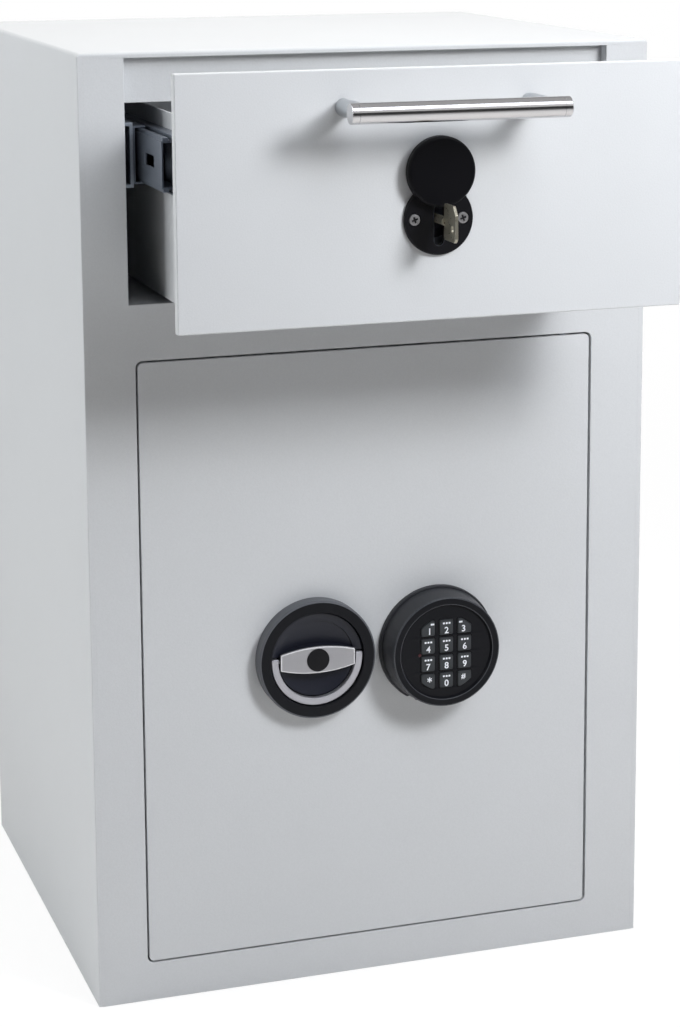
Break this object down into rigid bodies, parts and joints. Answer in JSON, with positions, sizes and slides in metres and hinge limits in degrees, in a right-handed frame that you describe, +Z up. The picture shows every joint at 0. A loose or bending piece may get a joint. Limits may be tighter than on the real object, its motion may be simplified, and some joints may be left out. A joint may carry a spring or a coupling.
{
  "type": "drop safe with deposit drawer",
  "caption": "Upright steel deposit safe with a pull-out drop drawer over a flush door, turning handle, round keypad, drawer lock with key, telescopic runners and sliding bolts.",
  "frame": {"origin": "centre of the cabinet's underside, on the floor, below the middle of the cabinet's width and of its depth without drawer and handles", "axes": "+Z up, +X to the right as seen from the front, the front with door and drawer faces -Y, and the back faces +Y"},
  "size_m": [0.43, 0.577, 0.7],
  "materials": {
    "light_grey": "fine textured powder coat",
    "black_plastic": "satin moulded plastic",
    "key_rubber": "matt silicone rubber",
    "stainless": "polished stainless steel",
    "satin_silver": "satin metal",
    "zinc_steel": "bluish zinc plating",
    "nickel": "worn nickel plating"
  },
  "bodies": {
    "cabinet": {"body_wrap": "light_grey", "back_panel": "light_grey", "base_plate": "light_grey", "front_frame": "light_grey", "header_plate": "light_grey", "divider_shelf": "light_grey", "drop_baffle": "zinc_steel", "runner_beam_left": "zinc_steel", "runner_beam_right": "zinc_steel", "outer_rail_left": "zinc_steel", "outer_rail_right": "zinc_steel"},
    "door": {"door_plate": "light_grey", "hinge_pin_bottom": "zinc_steel", "hinge_pin_top": "zinc_steel", "boltwork_cover": "light_grey", "bolt_guide": "zinc_steel", "handle_ring": "black_plastic", "keypad_base": "black_plastic", "keypad_housing": "black_plastic", "keypad_lead": "black_plastic", "lock_case": "satin_silver"},
    "handle": {"handle_rotor": "black_plastic", "handle_bar": "satin_silver", "handle_cap": "black_plastic", "handle_spindle": "zinc_steel"},
    "bail": {"handle_bail": "satin_silver"},
    "boltwork": {"bolt_carriage": "zinc_steel", "bolt_bottom": "stainless", "bolt_middle": "stainless", "bolt_top": "stainless"},
    "lock_bolt": {"lock_bolt": "nickel"},
    "key_1": {"key_1": "key_rubber"},
    "key_2": {"key_2": "key_rubber"},
    "key_3": {"key_3": "key_rubber"},
    "key_4": {"key_4": "key_rubber"},
    "key_5": {"key_5": "key_rubber"},
    "key_6": {"key_6": "key_rubber"},
    "key_7": {"key_7": "key_rubber"},
    "key_8": {"key_8": "key_rubber"},
    "key_9": {"key_9": "key_rubber"},
    "key_star": {"key_star": "key_rubber"},
    "key_0": {"key_0": "key_rubber"},
    "key_hash": {"key_hash": "key_rubber"},
    "drawer": {"drawer_front": "light_grey", "drawer_box": "light_grey", "drawer_tray": "light_grey", "inner_rail_left": "zinc_steel", "inner_rail_right": "zinc_steel", "pull_bar": "stainless", "pull_post_left": "satin_silver", "pull_post_right": "satin_silver", "lock_rosette": "black_plastic", "rosette_screw_left": "nickel", "rosette_screw_right": "nickel", "drawer_lock_case": "zinc_steel"},
    "drawer_lock_bar": {"drawer_lock_bar": "nickel"},
    "drawer_key": {"drawer_key": "nickel"},
    "keyhole_cover": {"keyhole_cover": "black_plastic"},
    "middle_rail_left": {"middle_rail_left": "zinc_steel"},
    "middle_rail_right": {"middle_rail_right": "zinc_steel"}
  },
  "joints": [
    {"name": "door_hinge", "type": "hinge", "parent": "cabinet", "child": "door", "pos_m": [0.1505, -0.19, 0.25], "axis": [0, 0, 1], "range_deg": [0, 100]},
    {"name": "handle_turn", "type": "hinge", "parent": "door", "child": "handle", "pos_m": [-0.048, -0.195, 0.252], "axis": [0, 1, 0], "range_deg": [0, 90]},
    {"name": "bail_fold", "type": "hinge", "parent": "handle", "child": "bail", "pos_m": [-0.048, -0.2022, 0.252], "axis": [-1, 0, 0], "range_deg": [0, 90]},
    {"name": "boltwork_slide", "type": "slide", "parent": "door", "child": "boltwork", "axis": [-1, 0, 0], "range_m": [0, 0.016]},
    {"name": "lock_bolt_slide", "type": "slide", "parent": "door", "child": "lock_bolt", "axis": [-1, 0, 0], "range_m": [0, 0.01]},
    {"name": "key_1_press", "type": "slide", "parent": "door", "child": "key_1", "axis": [0, 1, 0], "range_m": [0, 0.0012], "stiffness_N_per_m": 500},
    {"name": "key_2_press", "type": "slide", "parent": "door", "child": "key_2", "axis": [0, 1, 0], "range_m": [0, 0.0012], "stiffness_N_per_m": 500},
    {"name": "key_3_press", "type": "slide", "parent": "door", "child": "key_3", "axis": [0, 1, 0], "range_m": [0, 0.0012], "stiffness_N_per_m": 500},
    {"name": "key_4_press", "type": "slide", "parent": "door", "child": "key_4", "axis": [0, 1, 0], "range_m": [0, 0.0012], "stiffness_N_per_m": 500},
    {"name": "key_5_press", "type": "slide", "parent": "door", "child": "key_5", "axis": [0, 1, 0], "range_m": [0, 0.0012], "stiffness_N_per_m": 500},
    {"name": "key_6_press", "type": "slide", "parent": "door", "child": "key_6", "axis": [0, 1, 0], "range_m": [0, 0.0012], "stiffness_N_per_m": 500},
    {"name": "key_7_press", "type": "slide", "parent": "door", "child": "key_7", "axis": [0, 1, 0], "range_m": [0, 0.0012], "stiffness_N_per_m": 500},
    {"name": "key_8_press", "type": "slide", "parent": "door", "child": "key_8", "axis": [0, 1, 0], "range_m": [0, 0.0012], "stiffness_N_per_m": 500},
    {"name": "key_9_press", "type": "slide", "parent": "door", "child": "key_9", "axis": [0, 1, 0], "range_m": [0, 0.0012], "stiffness_N_per_m": 500},
    {"name": "key_star_press", "type": "slide", "parent": "door", "child": "key_star", "axis": [0, 1, 0], "range_m": [0, 0.0012], "stiffness_N_per_m": 500},
    {"name": "key_0_press", "type": "slide", "parent": "door", "child": "key_0", "axis": [0, 1, 0], "range_m": [0, 0.0012], "stiffness_N_per_m": 500},
    {"name": "key_hash_press", "type": "slide", "parent": "door", "child": "key_hash", "axis": [0, 1, 0], "range_m": [0, 0.0012], "stiffness_N_per_m": 500},
    {"name": "drawer_slide", "type": "slide", "parent": "cabinet", "child": "drawer", "axis": [0, -1, 0], "range_m": [-0.135, 0.115]},
    {"name": "middle_rail_left_slide", "type": "slide", "parent": "cabinet", "child": "middle_rail_left", "axis": [0, -1, 0], "range_m": [-0.0675, 0.0575]},
    {"name": "middle_rail_right_slide", "type": "slide", "parent": "cabinet", "child": "middle_rail_right", "axis": [0, -1, 0], "range_m": [-0.0675, 0.0575]},
    {"name": "drawer_key_turn", "type": "hinge", "parent": "drawer", "child": "drawer_key", "pos_m": [0, -0.33, 0.593], "axis": [0, 1, 0], "range_deg": [0, 90]},
    {"name": "drawer_lock_bar_slide", "type": "slide", "parent": "drawer", "child": "drawer_lock_bar", "axis": [0, 0, 1], "range_m": [0, 0.012]},
    {"name": "cover_swivel", "type": "hinge", "parent": "drawer", "child": "keyhole_cover", "pos_m": [0, -0.333, 0.60925], "axis": [0, 1, 0], "range_deg": [-55, 55]}
  ],
  "couplings": [
    {"joint": "handle_turn", "follows": "boltwork_slide", "rad_per_m": 98.175},
    {"joint": "lock_bolt_slide", "follows": "boltwork_slide", "ratio": 0.625},
    {"joint": "middle_rail_left_slide", "follows": "drawer_slide", "ratio": 0.5},
    {"joint": "middle_rail_right_slide", "follows": "drawer_slide", "ratio": 0.5},
    {"joint": "drawer_key_turn", "follows": "drawer_lock_bar_slide", "rad_per_m": 130.9}
  ]
}
